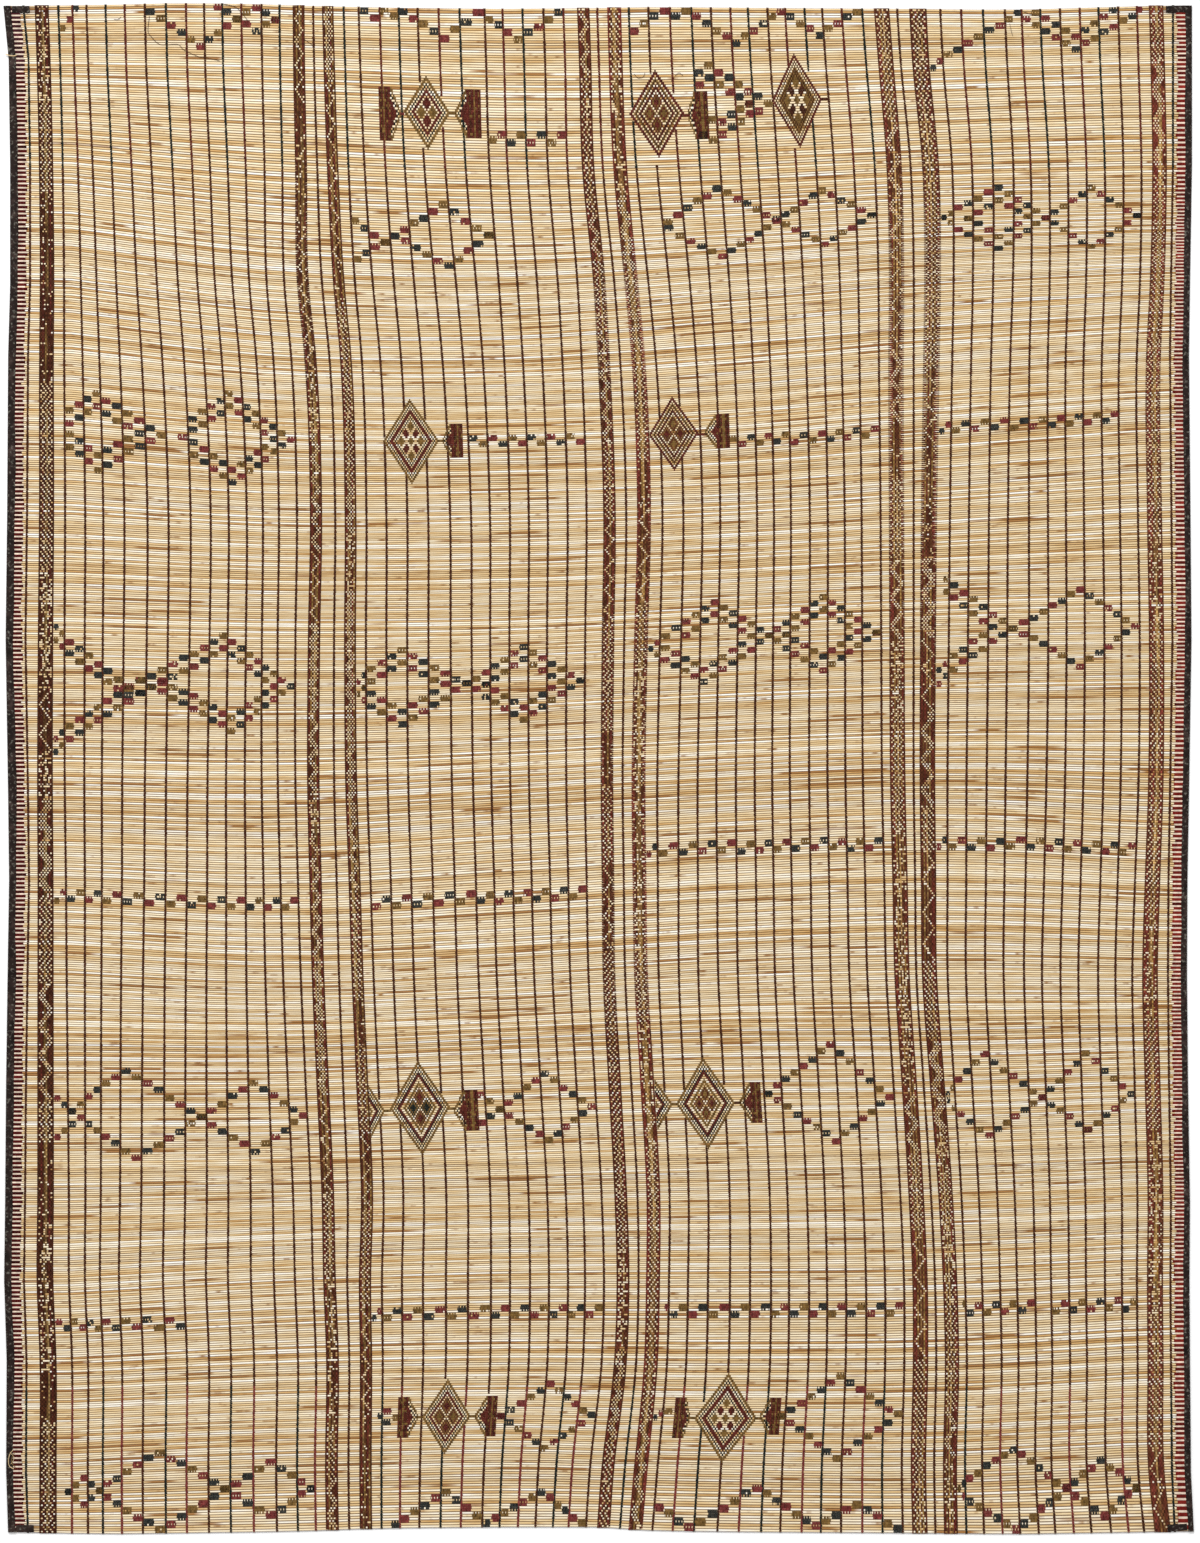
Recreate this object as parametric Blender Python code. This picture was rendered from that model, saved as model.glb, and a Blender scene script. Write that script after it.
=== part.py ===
"""A Tuareg mat: grass stems side by side, held by leather strips woven over and under them.

The mat lies face up on z = 0. +X runs along the stems and +Y along the leather strips, towards the
end that is at the top when the mat is seen from above. Lengths are in millimetres until a mesh is made.
"""

from collections import namedtuple

import bmesh
import bpy

MM = 0.001

# Heights above the ground
FIELD_TOP = 4.1
STRIP_RISE = 0.7
BAND_RISE = 0.8

# Leather folded over the panel's edges, and the room that each piece keeps to the next
LEATHER = 1.0
GAP = 0.3
FOLDED_HEIGHT = 4.8
EDGE_SETBACK = LEATHER + GAP
TONGUE_LOW = LEATHER + GAP
TONGUE_TOP = FOLDED_HEIGHT - LEATHER - GAP
STEP_SLOPE = 0.5
BINDING_LEFT = 16.0
BINDING_RIGHT = 13.0
CORNER_REACH = 52.0
CORNER_WIDTH = 16.0
CUTTER_PAST = 3.0

# Woven strips
STRIP_WIDTH = 4.4
BAND_BEVEL = 1.6
EDGE_STRIP_LEFT = 40.0
EDGE_STRIP_RIGHT = 38.0

# How many ribs there are between the points of the flat underside
RIBS_A_CELL = 3

# Colours (linear red, green, blue) and roughness
STEM_COLOUR = (0.60, 0.43, 0.24)
BINDING_COLOUR = (0.022, 0.018, 0.016)
CORNER_COLOUR = (0.020, 0.017, 0.015)
CUTTER_COLOUR = (0.5, 0.5, 0.5)
STEM_ROUGHNESS = 0.6
LEATHER_ROUGHNESS = 0.55

# Where the side edges and the middles of the eight bands lie, at heights down the mat
Course = namedtuple("Course", "y left right bands")
COURSES = (
    Course(1531, -1191, 1187, (-1114, -600, -542, -31, 31, 565, 638, 1115)),
    Course(1419, -1180, 1187, (-1110, -599, -539, -27, 34, 574, 644, 1118)),
    Course(1207, -1177, 1187, (-1105, -595, -532, -21, 43, 591, 664, 1122)),
    Course(967, -1177, 1183, (-1103, -592, -521, 1, 65, 596, 668, 1117)),
    Course(827, -1181, 1181, (-1105, -581, -510, 9, 76, 595, 666, 1110)),
    Course(507, -1183, 1184, (-1106, -569, -499, 21, 88, 595, 661, 1112)),
    Course(257, -1186, 1186, (-1106, -569, -497, 19, 85, 597, 659, 1116)),
    Course(-53, -1181, 1181, (-1107, -570, -494, 17, 80, 599, 658, 1114)),
    Course(-223, -1179, 1178, (-1106, -566, -488, 19, 82, 603, 660, 1108)),
    Course(-413, -1182, 1177, (-1106, -561, -482, 21, 85, 607, 662, 1103)),
    Course(-623, -1185, 1179, (-1106, -552, -473, 32, 97, 621, 677, 1108)),
    Course(-867, -1187, 1183, (-1106, -541, -463, 45, 110, 636, 695, 1114)),
    Course(-1023, -1189, 1182, (-1107, -538, -467, 49, 109, 643, 703, 1113)),
    Course(-1183, -1184, 1183, (-1101, -532, -465, 44, 105, 644, 707, 1114)),
    Course(-1407, -1185, 1185, (-1101, -534, -466, 18, 84, 640, 703, 1116)),
    Course(-1531, -1181, 1191, (-1101, -532, -465, 9, 73, 643, 705, 1129)),
)

# Where the two end edges lie, across the mat
End = namedtuple("End", "x top bottom")
ENDS = (
    End(-1191, 1525, -1527),
    End(-985, 1527, -1531),
    End(-837, 1531, -1529),
    End(-685, 1529, -1527),
    End(-585, 1525, -1525),
    End(-485, 1523, -1521),
    End(-385, 1521, -1519),
    End(-185, 1519, -1517),
    End(15, 1521, -1517),
    End(115, 1523, -1525),
    End(315, 1521, -1527),
    End(615, 1519, -1529),
    End(815, 1517, -1531),
    End(915, 1519, -1531),
    End(1015, 1523, -1527),
    End(1115, 1525, -1529),
    End(1191, 1527, -1523),
)

# Width of each band at the top end and at the bottom end
BAND_WIDTHS = ((24, 33), (22, 24), (21, 23), (23, 24), (24, 25), (25, 27), (28, 26), (28, 31))

# Between two bands: the spaces from the left band's middle, strip by strip, to the right band's middle,
# in the top part, the middle and the low part of the mat
Spaces = namedtuple("Spaces", "top middle low")
SPACES = (
    Spaces(
        (33, 28, 28, 38, 38, 40, 42, 40, 36, 36, 38, 40, 36, 38),
        (37, 40, 36, 42, 46, 42, 44, 40, 36, 36, 32, 32, 36, 38),
        (48, 32, 30, 38, 42, 46, 42, 44, 44, 46, 46, 42, 36, 33),
    ),
    Spaces((30, 30), (40, 32), (36, 36)),
    Spaces(
        (32, 30, 42, 38, 38, 42, 42, 50, 36, 40, 42, 40, 40),
        (32, 40, 42, 42, 44, 42, 38, 40, 38, 38, 40, 38, 46),
        (34, 40, 42, 46, 44, 46, 38, 40, 38, 38, 34, 38, 38),
    ),
    Spaces((28, 34), (32, 34), (32, 30)),
    Spaces(
        (30, 40, 44, 44, 40, 40, 36, 40, 36, 40, 36, 40, 42, 40),
        (37, 42, 38, 36, 38, 36, 34, 34, 38, 36, 34, 34, 38, 32),
        (32, 38, 40, 44, 40, 42, 36, 40, 36, 38, 40, 38, 38, 32),
    ),
    Spaces((30, 40), (36, 32), (30, 30)),
    Spaces(
        (43, 40, 42, 42, 32, 36, 38, 38, 36, 38, 36, 37),
        (42, 38, 40, 38, 42, 38, 36, 36, 38, 34, 36, 33),
        (30, 34, 36, 34, 36, 32, 36, 34, 38, 34, 30, 36),
    ),
)
SPACES_Y = (1400, 507, -1023)


def between(x, xs, values):
    """The value at x on the straight lines through (xs, values), with xs rising."""
    if x <= xs[0]:
        return values[0]
    for a, b, low, high in zip(xs, xs[1:], values, values[1:]):
        if x <= b:
            return low + (high - low) * (x - a) / (b - a)
    return values[-1]


def end_y(x, side):
    """The height of the end edge over x; side is top or bottom."""
    return between(x, [e.x for e in ENDS], [getattr(e, side) for e in ENDS])


def shares(spaces):
    """Where strips lie between two bands, as shares of the way across."""
    total = sum(spaces)
    return [sum(spaces[: i + 1]) / total for i in range(len(spaces) - 1)]


def strip_shares(spaces, y):
    """The shares at height y, worked out between the three measured heights."""
    tables = [shares(spaces.low), shares(spaces.middle), shares(spaces.top)]
    return [between(y, SPACES_Y[::-1], at_heights) for at_heights in zip(*tables)]


def ribs(row):
    """Middle, half width, rise and bevel of every raised strip and band, left to right."""
    down = (COURSES[0].y - row.y) / (COURSES[0].y - COURSES[-1].y)
    found = [(row.left + EDGE_STRIP_LEFT, STRIP_WIDTH / 2, STRIP_RISE, STRIP_WIDTH / 2)]
    for i, (middle, (top, bottom)) in enumerate(zip(row.bands, BAND_WIDTHS)):
        found.append((middle, (top + (bottom - top) * down) / 2, BAND_RISE, BAND_BEVEL))
        if i < len(SPACES):
            span = row.bands[i + 1] - middle
            for share in strip_shares(SPACES[i], row.y):
                found.append((middle + span * share, STRIP_WIDTH / 2, STRIP_RISE, STRIP_WIDTH / 2))
    found.append((row.right - EDGE_STRIP_RIGHT, STRIP_WIDTH / 2, STRIP_RISE, STRIP_WIDTH / 2))
    return found


def face_points(row):
    """The panel's face across one row as (x, z), and which of them have a point of the underside."""
    left = row.left + BINDING_LEFT + GAP
    right = row.right - BINDING_RIGHT - GAP
    points = [
        (row.left + EDGE_SETBACK, TONGUE_TOP),
        (left, TONGUE_TOP),
        (left + STEP_SLOPE, FIELD_TOP),
    ]
    under = [0, 1, 2]
    for i, (middle, half, rise, bevel) in enumerate(ribs(row)):
        if i % RIBS_A_CELL == 1:
            under.append(len(points))
        if bevel < half:
            points.append((middle - half, FIELD_TOP))
            points.append((middle - half + bevel, FIELD_TOP + rise))
            points.append((middle + half - bevel, FIELD_TOP + rise))
        else:
            points.append((middle - half, FIELD_TOP))
            points.append((middle, FIELD_TOP + rise))
        points.append((middle + half, FIELD_TOP))
    last = len(points)
    under += [last, last + 1, last + 2]
    points += [
        (right - STEP_SLOPE, FIELD_TOP),
        (right, TONGUE_TOP),
        (row.right - EDGE_SETBACK, TONGUE_TOP),
    ]
    return points, under


def row_heights(row, points, under):
    """y of each face point: level inside the mat, and along the edge on the two end rows."""
    if row is COURSES[0]:
        side = "top"
    elif row is COURSES[-1]:
        side = "bottom"
    else:
        return [row.y] * len(points)
    xs = [points[i][0] for i in under]
    ys = [end_y(x, side) for x in xs]
    return [between(x, xs, ys) for x, _ in points]


def finish_object(name, bm, colour, roughness):
    """Turns a bmesh in millimetres into an object in metres with its own material."""
    for vert in bm.verts:
        vert.co *= MM
    bmesh.ops.recalc_face_normals(bm, faces=bm.faces)
    mesh = bpy.data.meshes.new(name)
    bm.to_mesh(mesh)
    bm.free()
    obj = bpy.data.objects.new(name, mesh)
    bpy.context.scene.collection.objects.link(obj)
    material = bpy.data.materials.new(name + "_finish")
    material.use_nodes = True
    shader = material.node_tree.nodes["Principled BSDF"]
    shader.inputs["Base Color"].default_value = (*colour, 1.0)
    shader.inputs["Roughness"].default_value = roughness
    shader.inputs["Metallic"].default_value = 0.0
    mesh.materials.append(material)
    return obj


def panel():
    """The woven sheet, with its strips and bands raised in the face and a flat underside."""
    bm = bmesh.new()
    face_rows = []
    low_rows = []
    for row in COURSES:
        points, under = face_points(row)
        ys = row_heights(row, points, under)
        face_rows.append([bm.verts.new((x, y, z)) for (x, z), y in zip(points, ys)])
        tongue = {under[0], under[1], under[-2], under[-1]}
        low_rows.append(
            [bm.verts.new((points[i][0], ys[i], TONGUE_LOW if i in tongue else 0.0)) for i in under]
        )
    for rows in (face_rows, low_rows):
        for upper, lower in zip(rows, rows[1:]):
            for i in range(len(upper) - 1):
                bm.faces.new((upper[i], lower[i], lower[i + 1], upper[i + 1]))
    for face, low in ((face_rows[0], low_rows[0]), (face_rows[-1], low_rows[-1])):
        for k, (a, b) in enumerate(zip(under, under[1:])):
            bm.faces.new([low[k], low[k + 1], *reversed(face[a : b + 1])])
    for i in (0, -1):
        for j in range(len(COURSES) - 1):
            bm.faces.new((face_rows[j][i], face_rows[j + 1][i], low_rows[j + 1][i], low_rows[j][i]))
    return finish_object("mat_panel", bm, STEM_COLOUR, STEM_ROUGHNESS)


def folded_section(width, room=0.0, past=0.0):
    """A strip folded over an edge, as (distance in from the edge, z). room grows it, past carries it out."""
    low = LEATHER + room
    high = FOLDED_HEIGHT - LEATHER - room
    return [
        (-past, -past),
        (width + room, -past),
        (width + room, low),
        (LEATHER + room, low),
        (LEATHER + room, high),
        (width + room, high),
        (width + room, FOLDED_HEIGHT + past),
        (-past, FOLDED_HEIGHT + past),
    ]


def sweep(rings):
    """A closed solid through rings of equally many points."""
    bm = bmesh.new()
    made = [[bm.verts.new(point) for point in ring] for ring in rings]
    count = len(made[0])
    for a, b in zip(made, made[1:]):
        for i in range(count):
            j = (i + 1) % count
            bm.faces.new((a[i], a[j], b[j], b[i]))
    bm.faces.new(made[0])
    bm.faces.new(reversed(made[-1]))
    return bm


def binding(name, side, width):
    """The leather folded over one side; side is left or right."""
    inward = 1 if side == "left" else -1
    rings = []
    for row in COURSES:
        edge = getattr(row, side)
        y = row.y
        if row is COURSES[0]:
            y = end_y(edge, "top")
        elif row is COURSES[-1]:
            y = end_y(edge, "bottom")
        rings.append([(edge + inward * d, y, z) for d, z in folded_section(width)])
    return finish_object(name, sweep(rings), BINDING_COLOUR, LEATHER_ROUGHNESS)


def side_x(y, side):
    """Where a side edge lies at height y."""
    rows = COURSES[::-1]
    return between(y, [row.y for row in rows], [getattr(row, side) for row in rows])


def corner_rings(end, side, room=0.0, past=0.0):
    """The leather folded over the end edge beside a binding, as two rings across the mat."""
    inward = 1 if side == "left" else -1
    into = -1 if end == "top" else 1
    edge = getattr(COURSES[0] if end == "top" else COURSES[-1], side)
    width = BINDING_LEFT if side == "left" else BINDING_RIGHT
    rings = []
    for reach in (width + GAP - room, CORNER_REACH + room):
        y_end = end_y(edge + inward * reach, end)
        ring = []
        for d, z in folded_section(CORNER_WIDTH, room, past):
            y = y_end + into * d
            ring.append((side_x(y, side) + inward * reach, y, z))
        rings.append(ring)
    return rings


def corner_patch(end, side):
    rings = corner_rings(end, side)
    return finish_object(f"corner_{end}_{side}", sweep(rings), CORNER_COLOUR, LEATHER_ROUGHNESS)


def corner_room(panel_object, end, side):
    """Cuts the panel back under one corner patch."""
    rings = corner_rings(end, side, GAP, CUTTER_PAST)
    cutter = finish_object(f"cut_{end}_{side}", sweep(rings), CUTTER_COLOUR, LEATHER_ROUGHNESS)
    cutter.hide_render = True
    cutter.display_type = "WIRE"
    cut = panel_object.modifiers.new(f"room_{end}_{side}", "BOOLEAN")
    cut.operation = "DIFFERENCE"
    cut.solver = "EXACT"
    cut.object = cutter


def build():
    for obj in list(bpy.data.objects):
        bpy.data.objects.remove(obj, do_unlink=True)
    sheet = panel()
    binding("binding_left", "left", BINDING_LEFT)
    binding("binding_right", "right", BINDING_RIGHT)
    for end in ("top", "bottom"):
        for side in ("left", "right"):
            corner_patch(end, side)
            corner_room(sheet, end, side)


build()
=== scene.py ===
"""The looks of a Tuareg mat: grass stems side by side, held by woven leather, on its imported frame.

Lengths are in millimetres until a mesh is made. +X runs along the stems and +Y along the leather strips.
"""

import math
from collections import namedtuple
from functools import partial

import bpy
import numpy as np
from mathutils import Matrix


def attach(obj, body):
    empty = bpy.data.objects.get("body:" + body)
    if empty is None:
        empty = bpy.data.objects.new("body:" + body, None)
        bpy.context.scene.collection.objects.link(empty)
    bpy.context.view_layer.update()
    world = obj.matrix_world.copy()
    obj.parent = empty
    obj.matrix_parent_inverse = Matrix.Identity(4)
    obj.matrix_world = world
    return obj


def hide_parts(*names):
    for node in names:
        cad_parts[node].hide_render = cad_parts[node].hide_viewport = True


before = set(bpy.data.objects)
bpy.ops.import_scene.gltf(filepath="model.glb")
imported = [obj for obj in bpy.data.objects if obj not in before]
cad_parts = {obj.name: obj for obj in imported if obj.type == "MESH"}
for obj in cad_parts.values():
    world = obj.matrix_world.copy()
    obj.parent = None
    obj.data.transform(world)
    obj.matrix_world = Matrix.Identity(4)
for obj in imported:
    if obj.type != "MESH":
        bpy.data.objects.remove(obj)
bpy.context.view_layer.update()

MM = 0.001
rng = np.random.default_rng(7)


def table(columns, *rows):
    """A list of rows with named columns."""
    kind = namedtuple("kind", columns)
    return [kind(*row) for row in rows]


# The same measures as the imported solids
BINDING = {"left": 16.0, "right": 13.0}
FOLDED_HEIGHT = 4.8
LEATHER = 1.0
CORNER_REACH = 52.0
CORNER_WIDTH = 16.0

# For each side: the way in from the edge, how far in the outermost thin strip lies, how long the bars are
INWARD = {"left": 1, "right": -1}
EDGE_STRIP = {"left": 40.0, "right": 38.0}
EDGE_BAR = {"left": 16.5, "right": 17.0}
BAR_X = 1150.0
BINDING_X = 1170.0

# Stems: each is a little wider than the pitch, and they lie a little higher or lower by chance
STEMS = 709
STEM_PITCH = 4.31
STEM_TOP = 4.1
STEM_BOTTOM = 0.6
STEM_SIDES = 6
STEM_FULLNESS = 1.11
STEM_LIFT = 0.10
MOST_LIFT = 0.12
STATION_X = np.linspace(-1150.0, 1150.0, 25)
STEM_PIECES = 8

# Folded leather presses the stems to this share of their height, and this far beyond it they are free again
PRESSED = 0.72
PRESS_EASE = 2.0

# Heights of woven leather over a stem, beside it and where it turns down at the end of the mat
CREST = STEM_TOP + 0.5
VALLEY = 3.45
STRIP_END = 2.2

# Thin strips: half their width over a stem, the share of it between stems, and how the beads lean by turns
BEAD_HALF = 2.75
BEAD_NECK = 0.82
BEAD_LEAN = 0.28
BEAD_MIDDLE = (STEM_TOP + 0.62, 3.5)
BEAD_SIDE = (STEM_TOP + 0.10, 2.9)
BEAD_END = 2.4
STRIP_PAST_END = 1.2
UNDERSIDE_HALF = 2.0
UNDERSIDE_HEIGHTS = (0.25, 0.55)
# How far a thin strip sinks where a motif covers it
SUNK = 1.3

# Bands: heights of a strand under a stem, and between two stems where it is over both, one or none of them
BAND_UNDER = 0.3
BAND_BETWEEN = (3.4, 4.25, 3.6)
BAND_RIDGE = 0.12
BAND_PAST_END = 1.4

# The share of cells that are left bare by chance
MISSED = 0.03

# Small blocks, each half the space between two thin strips wide, and the strands that they are made of
BLOCK_STEMS = 3
STRAND = 2.9
CELL_GAP = 0.06
FLECK_CHANCE = 0.15
STRAND_GAP = 0.08
BLOCK_GAP = 0.3
BLOCK_CORNER = 1.2
SLIT_CHANCE = 0.6
CYCLE = ("slate", "olive", "crimson")

# The red and cream bars: how far they reach under the binding, the cells in each, how uneven their ends are,
# and how far a red one spreads onto the stems beside it
BAR_TUCK = 3
BAR_CELLS = 3
BAR_RAGGED = 1.6
BAR_SPREAD = 0.14
BAR_VALLEY = 4.05
WINE_ABOVE = 0.955

# Loose threads lie this far above the folded leather, and rise and fall along their length
THREAD_LIFT = 0.3
THREAD_WAVE = 0.4
THREAD_SIDES = 5

# Where the side edges and the middles of the eight bands lie, at heights down the mat
COURSES = table(
    "y left right bands",
    (1531, -1191, 1187, (-1114, -600, -542, -31, 31, 565, 638, 1115)),
    (1419, -1180, 1187, (-1110, -599, -539, -27, 34, 574, 644, 1118)),
    (1207, -1177, 1187, (-1105, -595, -532, -21, 43, 591, 664, 1122)),
    (967, -1177, 1183, (-1103, -591, -519, 2, 66, 596, 668, 1117)),
    (827, -1181, 1181, (-1104, -577, -506, 10, 79, 595, 666, 1110)),
    (507, -1183, 1184, (-1104, -565, -496, 22, 91, 596, 661, 1112)),
    (257, -1186, 1186, (-1106, -569, -497, 19, 85, 597, 659, 1116)),
    (-53, -1181, 1181, (-1107, -570, -494, 17, 80, 599, 658, 1114)),
    (-223, -1179, 1178, (-1106, -566, -488, 19, 82, 603, 660, 1108)),
    (-413, -1182, 1177, (-1106, -561, -482, 21, 85, 607, 662, 1103)),
    (-623, -1185, 1179, (-1106, -552, -473, 32, 97, 621, 677, 1108)),
    (-867, -1187, 1183, (-1106, -541, -463, 45, 110, 636, 695, 1114)),
    (-1023, -1189, 1182, (-1107, -538, -467, 49, 109, 643, 703, 1113)),
    (-1183, -1184, 1183, (-1101, -532, -465, 44, 105, 644, 707, 1114)),
    (-1407, -1185, 1185, (-1101, -534, -466, 18, 84, 640, 703, 1116)),
    (-1531, -1181, 1191, (-1101, -532, -465, 9, 73, 643, 705, 1129)),
)

# Where the two end edges lie, across the mat
ENDS = table(
    "x top bottom",
    (-1191, 1525, -1527),
    (-985, 1527, -1531),
    (-837, 1531, -1529),
    (-685, 1529, -1527),
    (-585, 1525, -1525),
    (-485, 1523, -1521),
    (-385, 1521, -1519),
    (-185, 1519, -1517),
    (15, 1521, -1517),
    (115, 1523, -1525),
    (315, 1521, -1527),
    (615, 1519, -1529),
    (815, 1517, -1531),
    (915, 1519, -1531),
    (1015, 1523, -1527),
    (1115, 1525, -1529),
    (1191, 1527, -1523),
)

# Width of each band at the top end and at the bottom end, and the colours of its strands from the left
BAND_WIDTHS = ((28, 35), (24, 26), (23, 25), (25, 26), (28, 28), (31, 31), (35, 28), (29, 33))
BAND_STRANDS = (
    "brown brown maroon brown olive khaki brown maroon brown brown",
    "brown maroon olive brown khaki olive maroon brown",
    "brown maroon khaki olive brown maroon olive brown",
    "brown maroon brown maroon olive brown maroon brown",
    "maroon maroon brown olive khaki olive brown maroon maroon",
    "brown maroon maroon olive brown khaki brown olive maroon brown",
    "brown maroon olive maroon khaki brown olive maroon maroon brown",
    "brown maroon maroon maroon olive khaki olive maroon maroon brown",
)
# How light the leather of each band is
BAND_LIGHT = (0.90, 1.20, 1.20, 1.30, 1.50, 1.50, 1.30, 1.70)
# How common each pattern of bare dots is in each band
PATTERNS = ("chevrons", "waves", "ripples", "slants", "speckle", "plain")
PATTERN_SHARES = (
    (0.15, 0.10, 0.10, 0.05, 0.35, 0.25),
    (0.30, 0.10, 0.15, 0.10, 0.25, 0.10),
    (0.40, 0.10, 0.10, 0.10, 0.20, 0.10),
    (0.35, 0.15, 0.15, 0.10, 0.15, 0.10),
    (0.25, 0.15, 0.15, 0.10, 0.30, 0.05),
    (0.30, 0.15, 0.15, 0.10, 0.25, 0.05),
    (0.30, 0.20, 0.10, 0.20, 0.15, 0.05),
    (0.40, 0.20, 0.10, 0.10, 0.20, 0.00),
)

# Between two bands: the spaces from the left band's middle, strip by strip, to the right band's middle,
# in the top part, the middle and the low part of the mat
SPACES = table(
    "top middle low",
    (
        (33, 28, 28, 38, 38, 40, 42, 40, 36, 36, 38, 40, 36, 38),
        (37, 40, 36, 42, 46, 42, 44, 40, 36, 36, 32, 32, 36, 38),
        (48, 32, 30, 38, 42, 46, 42, 44, 44, 46, 46, 42, 36, 33),
    ),
    ((30, 30), (40, 32), (36, 36)),
    (
        (32, 30, 42, 38, 38, 42, 42, 50, 36, 40, 42, 40, 40),
        (32, 40, 42, 42, 44, 42, 38, 40, 38, 38, 40, 38, 46),
        (34, 40, 42, 46, 44, 46, 38, 40, 38, 38, 34, 38, 38),
    ),
    ((28, 34), (32, 34), (32, 30)),
    (
        (30, 40, 44, 44, 40, 40, 36, 40, 36, 40, 36, 40, 42, 40),
        (37, 42, 38, 36, 38, 36, 34, 34, 38, 36, 34, 34, 38, 32),
        (32, 38, 40, 44, 40, 42, 36, 40, 36, 38, 40, 38, 38, 32),
    ),
    ((30, 40), (36, 32), (30, 30)),
    (
        (43, 40, 42, 42, 32, 36, 38, 38, 36, 38, 36, 37),
        (42, 38, 40, 38, 42, 38, 36, 36, 38, 34, 36, 33),
        (30, 34, 36, 34, 36, 32, 36, 34, 38, 34, 30, 36),
    ),
)
SPACES_Y = (1400, 507, -1023)

# How far the stems at a height hang below a straight line from their left ends, at places across the mat
SAG_X = (-1077, -637, -197, 243, 683, 1123)
SAGS = table(
    "y drops",
    (1387, (0, 11, 26, 23, 11, -1)),
    (1167, (0, 48, 63, 51, 29, 18)),
    (947, (0, 51, 59, 28, -7, -31)),
    (727, (0, 36, 38, 20, -18, -51)),
    (507, (0, 25, 21, 4, -25, -56)),
    (287, (0, 11, 6, -14, -33, -44)),
    (67, (0, 6, -7, -31, -49, -56)),
    (-153, (0, 13, -12, -38, -54, -35)),
    (-373, (0, 21, 5, -24, -39, -27)),
    (-593, (0, 1, -15, -29, -31, -42)),
    (-813, (0, -8, -19, -31, -41, -58)),
    (-1033, (0, -24, -39, -44, -50, -71)),
    (-1253, (0, -19, -28, -25, -29, -53)),
    (-1473, (0, -12, -22, -15, -12, -25)),
)

# Leather colours, as linear red, green and blue
DYES = {
    "brown": (0.048, 0.014, 0.006),
    "maroon": (0.080, 0.015, 0.010),
    "crimson": (0.145, 0.026, 0.024),
    "olive": (0.145, 0.080, 0.022),
    "khaki": (0.230, 0.140, 0.050),
    "black": (0.010, 0.014, 0.012),
    "slate": (0.022, 0.024, 0.022),
    "brick": (0.052, 0.003, 0.003),
    "rust": (0.130, 0.010, 0.007),
    "wine": (0.045, 0.008, 0.011),
    "straw": (0.640, 0.470, 0.260),
    "cream": (0.680, 0.550, 0.430),
}

COURSE_Y = np.array([row.y for row in COURSES], float)[::-1]

# The photograph: the size of a pixel, and the pixel over the middle of the frame
PHOTO_HEIGHT = 1543
PHOTO_MM_A_PIXEL = 2.0
PHOTO_ORIGIN = (598.5, 768.5)
PHOTO_CENTRE = (3.0, -6.0)


def smooth(x, xs, ys):
    """The values at x on a smooth curve through (xs, ys), with xs rising."""
    xs = np.asarray(xs, float)
    ys = np.asarray(ys, float)
    slopes = np.gradient(ys, xs)
    k = np.clip(np.searchsorted(xs, x) - 1, 0, len(xs) - 2)
    step = xs[k + 1] - xs[k]
    t = np.clip((x - xs[k]) / step, 0.0, 1.0)
    start = ys[k] * (1 + 2 * t) * (1 - t) ** 2 + slopes[k] * step * t * (1 - t) ** 2
    return start + ys[k + 1] * t * t * (3 - 2 * t) - slopes[k + 1] * step * t * t * (1 - t)


def side_x(y, side):
    """Where a side edge lies at height y."""
    return np.interp(y, COURSE_Y, [getattr(row, side) for row in COURSES[::-1]])


def end_y(x, side):
    """The height of the end edge over x; side is top or bottom."""
    return np.interp(x, [e.x for e in ENDS], [getattr(e, side) for e in ENDS])


def band_x(band, y):
    """The middle of a band at height y."""
    return smooth(y, COURSE_Y, [row.bands[band] for row in COURSES[::-1]])


def strip_x(space, strip, y):
    """Where a thin strip between two bands lies at height y."""
    heights = (SPACES[space].low, SPACES[space].middle, SPACES[space].top)
    shares = [sum(spaces[: strip + 1]) / sum(spaces) for spaces in heights]
    share = smooth(y, SPACES_Y[::-1], shares)
    left = band_x(space, y)
    return left + (band_x(space + 1, y) - left) * share


def stem_lines():
    """y of each line between two stems at each station, as an array (station, line)."""
    low = end_y(STATION_X, "bottom")
    high = end_y(STATION_X, "top")
    share = np.arange(STEMS + 1) / STEMS
    rows = [row.y for row in SAGS[::-1]]
    row_shares = (np.array(rows) - low[0]) / (high[0] - low[0])
    lines = np.empty((len(STATION_X), STEMS + 1))
    for j, x in enumerate(STATION_X):
        drops = [float(smooth(x, SAG_X, row.drops)) for row in SAGS[::-1]]
        base = (low[j] - low[0]) * (1 - row_shares) + (high[j] - high[0]) * row_shares
        shifts = [0.0, *(-np.array(drops) - base), 0.0]
        shift = smooth(share, [0.0, *row_shares, 1.0], shifts)
        lines[j] = low[j] * (1 - share) + high[j] * share + shift
    return lines


LINES = stem_lines()


def stem_y(x, s):
    """y at x of the stem coordinate s: stem i lies between i and i + 1."""
    x, s = np.broadcast_arrays(np.asarray(x, float), np.asarray(s, float))
    j = np.clip(np.searchsorted(STATION_X, x) - 1, 0, len(STATION_X) - 2)
    f = np.clip((x - STATION_X[j]) / (STATION_X[1] - STATION_X[0]), 0.0, 1.0)
    i = np.clip(np.floor(s).astype(int), 0, STEMS - 1)
    g = s - i
    here = LINES[j, i] * (1 - g) + LINES[j, i + 1] * g
    there = LINES[j + 1, i] * (1 - g) + LINES[j + 1, i + 1] * g
    return here * (1 - f) + there * f


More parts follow.
